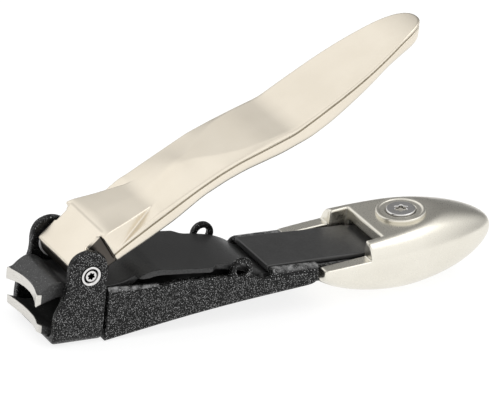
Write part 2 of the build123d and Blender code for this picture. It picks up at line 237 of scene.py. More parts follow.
def ramp(owner, value, *stops):
    """Colour ramp from (position, colour) stops."""
    node = owner.node_tree.nodes.new("ShaderNodeValToRGB")
    elements = node.color_ramp.elements
    while len(elements) < len(stops):
        elements.new(0.5)
    for element, (position, colour) in zip(elements, stops):
        element.position = position
        element.color = (*((colour,) * 3 if isinstance(colour, (int, float)) else colour), 1)
    owner.node_tree.links.new(value, node.inputs["Fac"])
    return node.outputs["Color"]


def mix(owner, factor, a, b):
    """Colour mixed from two sockets by a third: a at 0, b at 1."""
    node = owner.node_tree.nodes.new("ShaderNodeMix")
    node.data_type = "RGBA"
    # inputs 6 and 7 and output 2 are the node's sockets for colours
    links = owner.node_tree.links
    links.new(factor, node.inputs[0])
    links.new(a, node.inputs[6])
    links.new(b, node.inputs[7])
    return node.outputs[2]


def calculate(material, operation, a, b=None):
    """Math node on sockets or numbers."""
    node = material.node_tree.nodes.new("ShaderNodeMath")
    node.operation = operation
    for socket, value in zip(node.inputs, (a, b)):
        if isinstance(value, (int, float)):
            socket.default_value = value
        elif value is not None:
            material.node_tree.links.new(value, socket)
    return node.outputs[0]


def diagonal(material, a, b):
    """Length of (a, b)."""
    calc = partial(calculate, material)
    return calc("POWER", calc("ADD", calc("POWER", a, 2), calc("POWER", b, 2)), 0.5)


def fraction(owner, value, low, high):
    """How far a socket's value has come from low to high, between 0 and 1."""
    node = owner.node_tree.nodes.new("ShaderNodeMapRange")
    node.inputs["From Min"].default_value = low
    node.inputs["From Max"].default_value = high
    owner.node_tree.links.new(value, node.inputs["Value"])
    return node.outputs[0]


def separate(owner, vector):
    """The sockets of a vector's x, y and z."""
    node = owner.node_tree.nodes.new("ShaderNodeSeparateXYZ")
    owner.node_tree.links.new(vector, node.inputs[0])
    return node.outputs


def bump(material, shader, value, height):
    """Bump of a real height, from a value between 0 and 1."""
    node = material.node_tree.nodes.new("ShaderNodeBump")
    node.inputs["Distance"].default_value = height / 1000
    node.inputs["Strength"].default_value = 1.0
    links = material.node_tree.links
    links.new(value, node.inputs["Height"])
    links.new(node.outputs[0], shader.inputs["Normal"])


def specks(material, place, scale, size):
    """Round specks of random strength, from 0 to 1."""
    node = material.node_tree.nodes.new("ShaderNodeTexVoronoi")
    node.inputs["Scale"].default_value = scale
    material.node_tree.links.new(place, node.inputs["Vector"])
    dot = ramp(material, node.outputs["Distance"], (size * 0.6, 1), (size, 0))
    strength = ramp(material, node.outputs["Color"], (0.58, 0), (0.93, 1))
    return calculate(material, "MULTIPLY", dot, strength)


def base_colour(material):
    """The socket that a material's base colour comes from."""
    shader = material.node_tree.nodes["Principled BSDF"]
    return shader.inputs["Base Color"].links[0].from_socket


def recolour(material, colour):
    """Give a material another base colour."""
    shader = material.node_tree.nodes["Principled BSDF"]
    material.node_tree.links.new(colour, shader.inputs["Base Color"])
    return material


# ---- materials ----
def even_finish(name, metallic, tones, rough, patches, grain, detail, height):
    """Surface with slow variation in tone and a fine grain; patches and grain are noise scales."""
    material, shader, place = new_material(name, metallic)
    tone = ramp(material, noise(material, place, patches, 3), (0.35, tones[0]), (0.65, tones[1]))
    relief = noise(material, place, grain, detail)
    gloss = ramp(material, relief, (0.3, rough[0]), (0.7, rough[1]))
    material.node_tree.links.new(gloss, shader.inputs["Roughness"])
    bump(material, shader, relief, height)
    return recolour(material, tone)


def satin_metal(name, dark, light, rough=(0.3, 0.38), height=0.004):
    """Bead-blasted, plated metal."""
    return even_finish(name, 1.0, (dark, light), rough, 0.12, 5.5, 3, height)


def satin_coat(name, dark, light, rough=(0.3, 0.42)):
    """Satin coat or plastic with a faint orange-peel surface."""
    return even_finish(name, 0.0, (dark, light), rough, 0.5, 2.2, 2, 0.006)


def powder_coat(name, dark, mid, speck, rough):
    """Black powder coat with fine pale specks."""
    material, shader, place = new_material(name)
    links = material.node_tree.links
    fine = noise(material, place, 3.2, 2)
    base = ramp(material, fine, (0.36, dark), (0.64, mid))
    pale = ramp(material, fine, (0.3, speck * 0.7), (0.7, speck))
    flakes = specks(material, place, 6.4, 0.46)
    links.new(flakes, shader.inputs["Metallic"])
    shader.inputs["Specular IOR Level"].default_value = 0.17
    gloss = ramp(material, fine, (0.3, rough - 0.1), (0.7, rough + 0.1))
    links.new(gloss, shader.inputs["Roughness"])
    bump(material, shader, fine, 0.05)
    return recolour(material, mix(material, flakes, base, pale))


champagne = satin_metal("champagne_nickel", (0.76, 0.695, 0.585), (0.80, 0.735, 0.625))
nickel = satin_metal("satin_nickel_plate", (0.74, 0.71, 0.63), (0.79, 0.76, 0.68), (0.26, 0.34))
brass = satin_metal("turned_brass", (0.55, 0.40, 0.17), (0.64, 0.48, 0.22))
satin_black = satin_coat("satin_black_coat", 0.031, 0.04)
nylon = satin_coat("washer_nylon", 0.5, 0.6, (0.4, 0.55))
speckled = powder_coat("speckled_powder_coat", 0.001, 0.008, 0.68, 0.33)
# dark and light tone, roughness and bump of each screw's own steel
SCREW_STEEL = ((0.70, 0.69, 0.68), (0.78, 0.77, 0.76), (0.14, 0.22), 0.001)


def shaded_recess(name, point, direction, low, high):
    """Screw steel with painted shade that darkens towards the bottom of a recess, from high to low
    along its axis.
    """
    material = satin_metal(name, *SCREW_STEEL)
    nodes, links = material.node_tree.nodes, material.node_tree.links
    offset = nodes.new("ShaderNodeVectorMath")
    offset.operation = "SUBTRACT"
    offset.inputs[1].default_value = point
    links.new(coordinates(material), offset.inputs[0])
    height = nodes.new("ShaderNodeVectorMath")
    height.operation = "DOT_PRODUCT"
    height.inputs[1].default_value = direction
    links.new(offset.outputs[0], height.inputs[0])
    part = fraction(material, height.outputs["Value"], low, high)
    deep = ramp(material, part, (0, 0.02), (1, 0.05))
    return recolour(material, mix(material, part, deep, base_colour(material)))


def painted_neck_shade(material):
    """Painted shade: darken the sides of the lever's hub, behind its front plate, where they pass
    the ears.
    """
    calc = partial(calculate, material)
    x, y, z = separate(material, coordinates(material))
    behind_plate = calc(
        "SUBTRACT",
        calc("MULTIPLY", calc("SUBTRACT", x, PIN_X + PLATE_TOP[0]), PLATE_NORMAL[0]),
        calc("MULTIPLY", calc("SUBTRACT", z, PLATE_TOP[1] - DATUM), PLATE_NORMAL[1]),
    )
    reach = diagonal(material, calc("SUBTRACT", x, PIN_X), calc("SUBTRACT", z, PIN_Z - DATUM))
    inner = calc("LESS_THAN", calc("ABSOLUTE", y), HUB_HALF + 0.03)
    neck = calc("MULTIPLY", inner, calc("GREATER_THAN", behind_plate, PLATE_THICKNESS))
    neck = calc("MULTIPLY", neck, calc("LESS_THAN", reach, NECK_REACH))
    tone = ramp(material, reach, (0, (0.05, 0.045, 0.04)), (1, (0.09, 0.08, 0.07)))
    return recolour(material, mix(material, neck, base_colour(material), tone))


def painted_underside_shade(material):
    """Painted shade: darker plating colour where a surface faces down."""
    geometry = material.node_tree.nodes.new("ShaderNodeNewGeometry")
    _, _, up = separate(material, geometry.outputs["Normal"])
    level = fraction(material, up, -0.8, 0.02)
    underside_shade = ramp(material, level, (0, (0.34, 0.33, 0.30)), (1, (0.66, 0.63, 0.57)))
    return recolour(material, mix(material, level, underside_shade, base_colour(material)))


def painted_rim_highlight(material):
    """Painted highlight: lighten the tray's coat on the rim's front bevel and rear shoulders."""
    calc = partial(calculate, material)
    x, y, z = separate(material, coordinates(material))
    out = calc(
        "ADD",
        calc("MULTIPLY", calc("ABSOLUTE", y), BEVEL_NORMAL[0]),
        calc("MULTIPLY", z, BEVEL_NORMAL[1]),
    )
    bevel_out = BEVEL_NORMAL[0] * BEVEL_Y + BEVEL_NORMAL[1] * (BEVEL_Z - DATUM)
    on_bevel = calc("GREATER_THAN", out, bevel_out - 0.03)
    along_rim = calc(
        "MULTIPLY",
        calc("GREATER_THAN", x, PIN_X + HIGHLIGHT_RIM[0]),
        calc("LESS_THAN", x, PIN_X + HIGHLIGHT_RIM[1]),
    )
    patches = noise(material, coordinates(material), 1.1, 3)
    patchy = ramp(material, patches, (0.35, 0.1), (0.7, 0.85))
    rise = fraction(material, z, HIGHLIGHT_SHOULDER_Z[0] - DATUM, HIGHLIGHT_SHOULDER_Z[1] - DATUM)
    shoulder = calc("MULTIPLY", calc("GREATER_THAN", x, PIN_X + HIGHLIGHT_SHOULDER_X), rise)
    highlight_mask = calc("MAXIMUM", calc("MULTIPLY", on_bevel, along_rim), shoulder)
    tone = ramp(material, patchy, (0, 0.2), (1, 0.36))
    patchy_highlight = calc("MULTIPLY", highlight_mask, patchy)
    return recolour(material, mix(material, patchy_highlight, base_colour(material), tone))


def jaw_material(name, front_x, corner_x, top_z):
    """Black-coated jaw, ground to bright steel in its hollow front and at the corners beside it.

    The corners are ground as far back as corner_x, and up to top_z.
    """
    material, shader, place = new_material(name)
    links = material.node_tree.links
    calc = partial(calculate, material)
    x, y, z = separate(material, place)
    centre = front_x + EDGE_HOLLOW - EDGE_RADIUS + PIN_X
    from_centre = diagonal(material, calc("SUBTRACT", x, centre), y)
    hollow = calc("LESS_THAN", from_centre, EDGE_RADIUS + 0.3)
    corner = calc("LESS_THAN", x, corner_x + PIN_X)
    below = calc("LESS_THAN", z, top_z - DATUM)
    ground = calc("MULTIPLY", calc("MAXIMUM", hollow, corner), below)
    streak = noise(material, place, 1.0, 3, (1.2, 1.2, 14))
    steel = ramp(material, streak, (0.3, (0.58, 0.565, 0.53)), (0.7, (0.72, 0.70, 0.66)))
    fine = noise(material, place, 3.2, 2)
    coat = ramp(material, fine, (0.36, 0.014), (0.62, 0.034))
    on_beak = calc("LESS_THAN", x, PIN_X - BEAK_REAR)
    dots = calc("MULTIPLY", specks(material, place, 4.4, 0.42), on_beak)
    coat = mix(material, dots, coat, ramp(material, fine, (0.3, 0.12), (0.7, 0.2)))
    links.new(ground, shader.inputs["Metallic"])
    coat_rough = ramp(material, fine, (0.3, 0.28), (0.7, 0.44))
    steel_rough = ramp(material, streak, (0.3, 0.25), (0.7, 0.4))
    links.new(mix(material, ground, coat_rough, steel_rough), shader.inputs["Roughness"])
    shader.inputs["Specular IOR Level"].default_value = 0.4
    bump(material, shader, fine, 0.015)
    return recolour(material, mix(material, ground, coat, steel))


def finish_piece(piece, body, material, node):
    """Give a piece its material and body, and let it stand for a CAD node."""
    piece.data.materials.append(material)
    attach(piece, body)
    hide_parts(node)


# ---- lever ----
LEVER_HALF = 7.1
LEVER_BORE = 1.53
# cosines of the arm's slope and of the groove's, which turn a height into a distance
SLANT, GROOVE_SLANT = 0.85, 0.83
# heights along the arm: the top at its middle and at its edges, the groove under the top's edge,
# and the underside. RIDGE is the share of the half width over which the top is level.
TIP = ((43.8, 38.7), (50, 42.7), (55, 45.9), (58, 47.4), (60.5, 48.2))
CREST = (
    (-4, 13.1), (2.3, 19.05), (7, 20.62), (12.0, 22.2), (17.0, 26.45), (29.5, 31.5), (35.4, 33.45),
    *TIP,
)
EDGE = (
    (-4, 13.1), (2.3, 19.0), (7, 20.3), (12.0, 21.95), (16.1, 24.35), (22.9, 28.3), (26.5, 29.85),
    (35.4, 33.3), *TIP,
)
RIDGE = ((8, 0.0), (16.5, 0.0), (19.8, 0.1), (22.9, 0.45), (27.1, 0.8), (30.7, 0.88), (61, 0.88))
ROOF_EASE = 0.1             # how softly the top starts to fall beside its level part
GROOVE = (
    (4, 15.2), (5.39, 16.33), (10.38, 19.72), (18.1, 24.8), (21.81, 27.0), (25.5, 28.85),
    (35.4, 32.75), (43.8, 38.1), (50, 42.1), (55, 45.3), (58, 46.7), (60.5, 47.5),
)
GROOVE_DROP, GROOVE_HALF, GROOVE_DEPTH = 0.08, 0.14, 0.5
UNDER = (
    (3.9, 13.0), (4.85, 13.83), (9.9, 16.75), (14.6, 19.65), (19.5, 23.3), (23.6, 25.55),
    (27, 27.05), (33.4, 29.2), (38.4, 31.4), (42, 33.7), (46.8, 37.3), (52.3, 41.4), (55.3, 42.9),
    (61, 44.8),
)
LEVER_PLAN = plan_outline(
    (-6, 7.15), (30, 7.15, 3), (42, 6.95, 4), (47.5, 6.5, 3), (52, 5.5, 3), (56, 4.2, 2),
    (58.6, 2.9, 1.8), (59.9, 1.2, 1.2),
)
# the facet recessed in each shoulder: its plane, and the wall that ends it
FACET_NORMAL, FACET_OUT = (0.1647, 0.9488, 0.2698), 12.0
WALL_NORMAL, WALL_AT = (0.627, -0.779), (4.18, 15.89)
# room for the yoke's ears, behind the front plate
EAR_GAP = outline(
    (-9, 9), (5.9, 9), (5.6, 12.7), (4.75, 14.15), (3.3, 16.4), (1.95, 18.45), (-9, 30),
)
# the hub between the ears, the waist hollowed into its sides, and the cam nose below it
HUB = outline(
    (-2.75, 12.9, 0.3), (-3.2, 13.75, 0.3), (2.3, 19.05, 0.5), (6.4, 16.2, 1), (5.75, 13.35, 0.6),
    (3.8, 12.2, 0.5), (2.4, 10.8, 1), (0, 9.95, 1), (-2.2, 11.0, 1),
)
HUB_HALF = 5.8
WAIST_X, WAIST_Z, WAIST_RADIUS, WAIST_HALF = 2.0, 14.2, 3.9, 5.35
WAIST_FOOT, WAIST_RISE = 14.3, 0.9
NOSE = outline((1.5, 13.5), (5.4, 13.5), (5.4, 11.0, 0.8), (4.6, 10.05, 0.5), (3.7, 10.6, 0.4))
NOSE_HALF = 3.5
# what the hub's painted shade takes as behind the front plate: more than PLATE_THICKNESS off the
# plate's face, which runs through PLATE_TOP in side view; and how far from the pin the painted
# shade darkens the hub
PLATE_TOP, PLATE_NORMAL, PLATE_THICKNESS = (2.3, 19.05), (0.694, 0.72), 0.75
NECK_REACH = 6.6


def lever_field(x, y, z):
    across = np.abs(y)
    crest, edge, level = along(x, CREST, 1.6), along(x, EDGE, 1.0), along(x, RIDGE)
    roof = np.clip((across / LEVER_HALF - level) / (1 - level), 0, 1)
    roof = (1 + ROOF_EASE) * roof * roof / (roof + ROOF_EASE)
    top = crest + (edge - crest) * roof
    plan = polygon(LEVER_PLAN, x, y)
    body = both(both((z - top) * SLANT, plan, 0.35), (along(x, UNDER) - z) * SLANT, 1.0)
    groove = np.abs(z + GROOVE_DROP - along(x, GROOVE)) * GROOVE_SLANT - GROOVE_HALF
    body = less(body, np.maximum(groove, -plan - GROOVE_DEPTH), 0.16)
    facet = FACET_OUT - (FACET_NORMAL[0] * x + FACET_NORMAL[1] * across + FACET_NORMAL[2] * z)
    wall = WALL_NORMAL[0] * (x - WALL_AT[0]) + WALL_NORMAL[1] * (z - WALL_AT[1])
    body = less(body, both(facet, wall, 0.05), 0.15)
    body = less(body, polygon(EAR_GAP, x, z), 0.35)
    hub = both(polygon(HUB, x, z), across - HUB_HALF, 0.3)
    waist = both(np.hypot(x - WAIST_X, z - WAIST_Z) - WAIST_RADIUS, WAIST_HALF - across, 0.1)
    waist = both(waist, WAIST_FOOT - z + WAIST_RISE * (WAIST_X - x), 0.3)
    hub = less(hub, waist, 0.25)
    nose = both(polygon(NOSE, x, z), across - NOSE_HALF)
    body = either(either(body, hub, 0.15), nose, 0.2)
    return less(body, from_pin(x, z) - LEVER_BORE, 0.15)


lever = surface("lever_arm", lever_field, (-3.6, -7.3, 9.6), (60.3, 7.3, 49), 0.175)
# the lever's plating carries painted shade: darker where it faces down, and dark on the hub's sides
# by the ears
finish_piece(lever, "lever", painted_neck_shade(painted_underside_shade(champagne)), "lever")

# ---- tail ----
# The egg: where it is widest and deepest, the half width and the depths there, over what length its
# front tapers, and the powers of its plan, its side view and its section.
EGG_FRONT, EGG_TIP, EGG_CUT = 42.8, 78.9, 78.75
WIDEST_X, EGG_HALF, PLAN_FRONT, PLAN_POWER = 54, 9.12, 40, 0.54
DEEPEST_X, EGG_BELOW, EGG_ABOVE, SIDE_FRONT, SIDE_POWER = 60.5, 7.62, 5.57, 18.67, 1.79
FRONT_SHARE = 0.31          # how much of the taper in side view the front has above the equator
EQUATOR_Z, EQUATOR_RISE, SECTION_POWER = 6.82, 0.05, 2.32
# the flat top behind the step and the two prongs in front of it, with the cosines of their slopes
STEP_X, TOP_Z, TOP_RISE, TOP_COS = 51.3, 11.0, 0.125, 0.992
PRONG_Z, PRONG_RISE, PRONG_COS = 7.65, 0.104, 0.995
# the notch for the tray's rear end, the throat for the leaf and the pocket for the arms
NOTCH_FLOOR, NOTCH_REAR = 4.0, 54.55
NOTCH_HALF, THROAT_HALF, POCKET_HALF = 6.45, 5.9, 5.2
POCKET = outline(
    (50, 3), (65.6, 3), (65.6, 8.55), (NOTCH_REAR + 1.6, 8.55), (NOTCH_REAR + 1.6, 9.45),
    (50, 9.45),
)
# the clamp screw's hole, whose axis is square to the flat top: a point on the axis, the radius and
# the height of its end
CLAMP_X, CLAMP_Z, CLAMP_HOLE, CLAMP_END = 61.4, 12.2, 1.4, 3.0
TILT = atan(TOP_RISE)
SEAT = (CLAMP_X, TOP_Z + TOP_RISE * (CLAMP_X - STEP_X))


def bulge(share):
    """Height of the egg's side view, as a share of its depth, along a share of its length."""
    return np.maximum(1 - np.abs(share) ** SIDE_POWER, 1e-3) ** (1 / SIDE_POWER)


def bolster_field(x, y, z):
    across = np.abs(y)
    length = np.where(x > WIDEST_X, EGG_TIP - WIDEST_X, PLAN_FRONT)
    half = EGG_HALF * np.maximum(1 - ((x - WIDEST_X) / length) ** 2, 1e-3) ** PLAN_POWER
    share = (x - DEEPEST_X) / np.where(x > DEEPEST_X, EGG_TIP - DEEPEST_X, SIDE_FRONT)
    equator = EQUATOR_Z + EQUATOR_RISE * (x - EGG_FRONT)
    below = EGG_BELOW * bulge(share)
    above = EGG_ABOVE * bulge(np.where(share > 0, share, FRONT_SHARE * share))
    height = np.where(z > equator, above, below)
    egg = (across / half) ** SECTION_POWER + (np.abs(z - equator) / height) ** SECTION_POWER
    egg = egg ** (1 / SECTION_POWER) - 1
    # divided by its slope, the value becomes a distance near the surface
    spacing = [axis.ravel()[1] - axis.ravel()[0] for axis in (x, y, z)]
    slope = np.sqrt(sum(part ** 2 for part in np.gradient(egg, *spacing)))
    egg = egg / np.maximum(slope, 0.02)
    egg = both(both(egg, EGG_FRONT - x, 0.5), x - EGG_CUT, 1.3)
    egg = both(egg, (z - (TOP_Z + TOP_RISE * (x - STEP_X))) * TOP_COS, 0.35)
    prong_top = PRONG_Z + PRONG_RISE * (x - EGG_FRONT)
    egg = less(egg, np.maximum((prong_top - z) * PRONG_COS, x - STEP_X), 0.28)
    above_floor = NOTCH_FLOOR - z
    notch = np.maximum(np.maximum(across - NOTCH_HALF, x - STEP_X - 0.1), above_floor)
    egg = less(egg, notch, 0.22)
    throat = np.maximum(np.maximum(across - THROAT_HALF, x - NOTCH_REAR), above_floor)
    egg = less(egg, throat, 0.28)
    pocket = np.maximum(np.maximum(across - POCKET_HALF, above_floor), polygon(POCKET, x, z))
    egg = less(egg, pocket, 0.1)
    hole = np.hypot(x - CLAMP_X + TOP_RISE * (z - CLAMP_Z), y) - CLAMP_HOLE
    egg = less(egg, np.maximum(hole, CLAMP_END - z), 0.1)
    return both(egg, DATUM - z, 0.15)


bolster = surface("tail_bolster", bolster_field, (42.6, -9.4, 0), (79.1, 9.4, 14), 0.18)
finish_piece(bolster, "tail", nickel, "bolster")

# radii round the clamp screw's axis, and heights above its seat
WASHER_RADIUS, WASHER_LOW, WASHER_TOP = 4.28, -0.2, 0.58
WASHER_BORE, BORE_FLOOR = 2.62, 0.3
DISH_RADIUS, DISH_FLAT, DISH_CENTRE, DISH_SECTION = 3.1, 0.35, 0.72, 0.28
HEAD_RADIUS, HEAD_LOW, HEAD_TOP = 2.5, 0.2, 0.74
SHANK_RADIUS, SHANK_END, SHANK_TOP = 1.25, -10.2, 0.3
LOBE_RADIUS, LOBE_FLOOR = 1.2, -0.9
# mean radius and swing of a six-lobe recess, as shares of its largest radius
LOBE_MEAN, LOBE_SWING = 0.84, 0.16
# heights above a seat between which a recess's painted shade darkens, in the clamp screw and in the
# pivot's heads
CLAMP_SHADE, PIVOT_SHADE = (0.3, 0.66), (0.1, 0.46)


def screw_frame(x, y, z):
    """Distance from the clamp screw's axis, height above its seat, and angle round it."""
    dx, dz = x - SEAT[0], z - SEAT[1]
    u = dx * cos(TILT) + dz * sin(TILT)
    return np.hypot(u, y), dz * cos(TILT) - dx * sin(TILT), np.arctan2(y, u)


def lobes(rho, angle, radius, turn=0.0):
    """Six-lobe driver recess."""
    return rho - radius * (LOBE_MEAN + LOBE_SWING * np.cos(6 * (angle + turn)))


def washer_field(x, y, z):
    rho, w, _ = screw_frame(x, y, z)
    body = both(rho - WASHER_RADIUS, slab(w, WASHER_LOW, WASHER_TOP), 0.24)
    from_flat = np.maximum(np.abs(rho - DISH_RADIUS) - DISH_FLAT, 0)
    dish = np.hypot(from_flat, w - DISH_CENTRE) - DISH_SECTION
    return less(less(body, dish, 0.1), np.maximum(rho - WASHER_BORE, BORE_FLOOR - w), 0.1)


def screw_field(x, y, z):
    rho, w, angle = screw_frame(x, y, z)
    head = both(rho - HEAD_RADIUS, slab(w, HEAD_LOW, HEAD_TOP), 0.18)
    shank = np.maximum(rho - SHANK_RADIUS, slab(w, SHANK_END, SHANK_TOP))
    recess = np.maximum(lobes(rho, angle, LOBE_RADIUS), LOBE_FLOOR - w)
    return less(np.minimum(head, shank), recess, 0.08)


washer = surface("clamp_washer", washer_field, (56.8, -4.5, 11.2), (66, 4.5, 13.6), 0.1)
finish_piece(washer, "tail", nickel, "bolster_washer")
screw = surface("clamp_screw", screw_field, (58.4, -2.7, 1.8), (64.4, 2.7, 14), 0.09)
seat_point, seat_up = (SEAT[0] + PIN_X, 0, SEAT[1] - DATUM), (-sin(TILT), 0, cos(TILT))
screw_steel = shaded_recess("clamp_screw_steel", seat_point, seat_up, *CLAMP_SHADE)
finish_piece(screw, "tail", screw_steel, "bolster_screw")

# ---- yoke and pivot ----
YOKE_HALF, YOKE_SHEET = 7.7, 1.4
BEND_OUTSIDE, BEND_INSIDE = 2.2, 0.9
EAR = outline(
    (2.85, 14.4, 1.3), (1.9, 16.0, 1.2), (-0.55, 16.75, 1.7), (-2.95, 15.9, 1.2), (-3.9, 14.0, 1.6),
    (-3.75, 11.3, 1.2), (-4.1, 9.8, 0.8), (-4.7, 7.6, 1.0), (-5.6, 5.9, 0.8), (-5.8, 4.2, 0.8),
    (-5.8, 0.1, 1.7), (3.05, 0.1), (3.05, 12.4, 0.8),
)
# y of the seats for the pivot's heads, and the radii of a seat and of the bore in an ear
HEAD_SEAT, SEAT_RADIUS, EAR_BORE = 7.25, 1.76, 1.55


def yoke_field(x, y, z):
    across = np.abs(y)
    outside = both(across - YOKE_HALF, DATUM - z, BEND_OUTSIDE)
    inside = both(across - (YOKE_HALF - YOKE_SHEET), DATUM + YOKE_SHEET - z, BEND_INSIDE)
    body = both(less(outside, inside, 0.2), polygon(EAR, x, z), 0.28)
    seat = np.maximum(from_pin(x, z) - SEAT_RADIUS, HEAD_SEAT - across)
    return less(less(body, seat, 0.12), from_pin(x, z) - EAR_BORE, 0.05)


yoke = surface("pivot_yoke", yoke_field, (-6.2, -7.9, 0), (3.3, 7.9, 16.9), 0.14)
finish_piece(yoke, "lower", speckled, "yoke")

# radii round the pin, and heights out from the seat, of a head and of the button in its dish
PIVOT_HEAD, PIVOT_HEAD_TOP = 1.68, 0.57
PIVOT_DISH, PIVOT_DISH_FLOOR, CONE_ACROSS, CONE_UP = 1.34, -0.35, 0.85, 0.5
BUTTON_RADIUS, BUTTON_LOW, BUTTON_TOP = 0.95, -0.3, 0.5
PIVOT_LOBE, PIVOT_LOBE_FLOOR, PIVOT_LOBE_TURN = 0.66, -0.6, 0.3
# the near screw's shank, and the far barrel with the bore that it screws into
SCREW_RADIUS, SCREW_END = 0.88, -9
BARREL_RADIUS, BARREL_END = 1.5, -14.4
BARREL_BORE, BARREL_BORE_TOP = 0.92, -3.2


def head_field(side):
    """Field of the near screw (side -1) or the far barrel (side 1), each with its head."""
    def field(x, y, z):
        rho, out = from_pin(x, z), y * side - HEAD_SEAT
        angle = np.arctan2(z - PIN_Z, x + 0 * z)
        body = both(rho - PIVOT_HEAD, slab(out, 0, PIVOT_HEAD_TOP), 0.12)
        cone = CONE_ACROSS * (rho - PIVOT_DISH) + CONE_UP * (PIVOT_HEAD_TOP - out)
        body = less(body, np.maximum(cone, PIVOT_DISH_FLOOR - out), 0.05)
        button = both(rho - BUTTON_RADIUS, slab(out, BUTTON_LOW, BUTTON_TOP), 0.1)
        body = either(body, button, 0.03)
        recess = np.maximum(
            lobes(rho, angle, PIVOT_LOBE, PIVOT_LOBE_TURN), PIVOT_LOBE_FLOOR - out,
        )
        if side < 0:
            shank = np.maximum(rho - SCREW_RADIUS, slab(out, SCREW_END, 0.1))
        else:
            shank = np.maximum(rho - BARREL_RADIUS, slab(out, BARREL_END, 0.1))
            shank = less(shank, np.maximum(rho - BARREL_BORE, out - BARREL_BORE_TOP), 0.05)
        return less(either(body, shank, 0.05), recess, 0.05)
    return field


def head_steel(name, side):
    """Steel of a pivot head, its recess darkened with painted shade."""
    return shaded_recess(name, (0, side * HEAD_SEAT, 0), (0, side, 0), *PIVOT_SHADE)


near_head = surface(
    "pivot_screw_head", head_field(-1), (-1.8, -7.95, 10.6), (1.8, 1.9, 14.2), 0.07,
)
near_steel = head_steel("near_head_steel", -1)
finish_piece(near_head, "lower", near_steel, "pivot_screw")
far_head = surface(
    "pivot_barrel_head", head_field(1), (-1.8, -7.3, 10.6), (1.8, 7.95, 14.2), 0.08,
)
far_steel = head_steel("far_head_steel", 1)
finish_piece(far_head, "lower", far_steel, "pivot_barrel")

# ---- jaws ----
# Each cutting edge is hollow: an arc of EDGE_RADIUS, EDGE_HOLLOW deep in the middle.
EDGE_RADIUS, EDGE_HOLLOW = 13.0, 1.25
JAW_HALF = 5.65
UPPER_FRONT, LOWER_FRONT = -8.46, -7.98
BEAK_REAR = 2.6             # how far in front of the pin the coat's specks end
ARM_HOLE_X, ARM_HOLE = 62.2, 1.85
ARM_TOP, ARM_THICKNESS = 7.4, 1.0
ARM_BOTTOM = ARM_TOP - ARM_THICKNESS
UPPER_SIDE = outline(
    (-4.6, 8.3), (UPPER_FRONT, 6.97), (UPPER_FRONT, 9.05, 0.15), (-7.5, 9.25, 0.3),
    (-6.3, 10.35, 0.8), (-4.9, 11.05, 0.8), (-3.4, 10.65, 0.8), (-1.8, 9.45, 1.0), (1, 9.25, 1),
    (6.2, 9.3, 1.6), (8.3, 10.0, 1.0), (9.7, 11.3, 0.9), (12, 11.72, 1), (17, 11.15, 3),
    (21.5, 10.75, 2), (25.2, 10.4, 2), (29, 9.65, 1.5), (31.2, 8.7, 1), (33.2, 7.5, 0.8),
    (35, ARM_TOP, 1), (65, ARM_TOP), (65, ARM_BOTTOM), (34.7, ARM_BOTTOM, 1), (32.8, 6.55, 0.8),
    (30.4, 7.8, 1.2), (28.5, 8.75, 1), (25, 9.5, 2), (21.3, 9.95, 2), (17, 10.3, 2),
    (12.2, 10.68, 1), (10.2, 10.3, 1), (8.6, 8.8, 0.8), (6.6, 8.25, 1), (1, 8.2, 1), (-1.8, 8.3),
)
UPPER_PLAN = plan_outline(
    (UPPER_FRONT, JAW_HALF), (8.5, JAW_HALF, 0.5), (8.9, 7.2, 0.4), (9.5, 7.5, 0.4),
    (22.2, 7.5, 0.6), (23.4, 6.2, 0.6), (32.0, 6.2, 0.5), (32.8, JAW_HALF, 0.5),
    (53.8, JAW_HALF, 0.3), (53.8, 5.0, 0.3), (65, 5.0),
)
LOWER_SIDE = outline(
    (-4.4, 1.6, 0.5), (3.5, 1.6, 1), (8, 1.95, 2), (12, 2.65, 2), (17, 3.35, 2), (21, 4.0, 2),
    (24.5, 4.35, 1.5), (29, 4.38, 2), (36, 4.45, 3), (42, 4.55, 3), (65, 4.55), (65, 5.55),
    (42, 5.55, 3), (36, 5.4, 3), (29, 5.32, 2), (24.5, 5.3, 1.5), (21, 4.98, 2), (17, 4.35, 2),
    (12, 3.65, 2), (8, 3.05, 2), (3.5, 2.85, 1), (-4.6, 2.85, 0.5), (LOWER_FRONT, 4.17),
    (-7.86, 2.7, 0.15), (-7.1, 2.2, 0.3), (-6.0, 1.75, 0.5),
)
LOWER_PLAN = plan_outline(
    (LOWER_FRONT, JAW_HALF), (53.8, JAW_HALF, 0.3), (53.8, 5.0, 0.3), (65, 5.0),
)
# the relief under the front corners of the upper jaw's wide plate
RELIEF_FRONT, RELIEF_REAR, RELIEF_TOP = 8, 10.6, 10.4


def cut_jaw(body, x, y, front):
    """Cut the hole for the clamp screw and the hollow cutting edge."""
    body = less(body, np.hypot(x - ARM_HOLE_X, y) - ARM_HOLE, 0.05)
    arc = np.hypot(x - (front + EDGE_HOLLOW - EDGE_RADIUS), y) - EDGE_RADIUS
    return less(body, arc, 0.04)


def upper_field(x, y, z):
    body = both(polygon(UPPER_SIDE, x, z), polygon(UPPER_PLAN, x, y), 0.22)
    relief = both(slab(x, RELIEF_FRONT, RELIEF_REAR), z - RELIEF_TOP, 0.1)
    body = less(body, np.maximum(relief, JAW_HALF + 0.2 - np.abs(y)), 0.1)
    return cut_jaw(body, x, y, UPPER_FRONT)


def lower_field(x, y, z):
    body = both(polygon(LOWER_SIDE, x, z), polygon(LOWER_PLAN, x, y), 0.18)
    return cut_jaw(body, x, y, LOWER_FRONT)


upper = surface("upper_jaw_arm", upper_field, (-8.7, -7.7, 6.2), (65.2, 7.7, 12), 0.14)
upper_coat = jaw_material("upper_jaw_coat", UPPER_FRONT, corner_x=-7.5, top_z=9.12)
finish_piece(upper, "upper", upper_coat, "upper_jaw")
lower = surface("lower_jaw_arm", lower_field, (-8.2, -5.9, 1.4), (65.2, 5.9, 5.8), 0.14)
lower_coat = jaw_material("lower_jaw_coat", LOWER_FRONT, corner_x=-7.0, top_z=6)
finish_piece(lower, "lower", lower_coat, "lower_jaw")

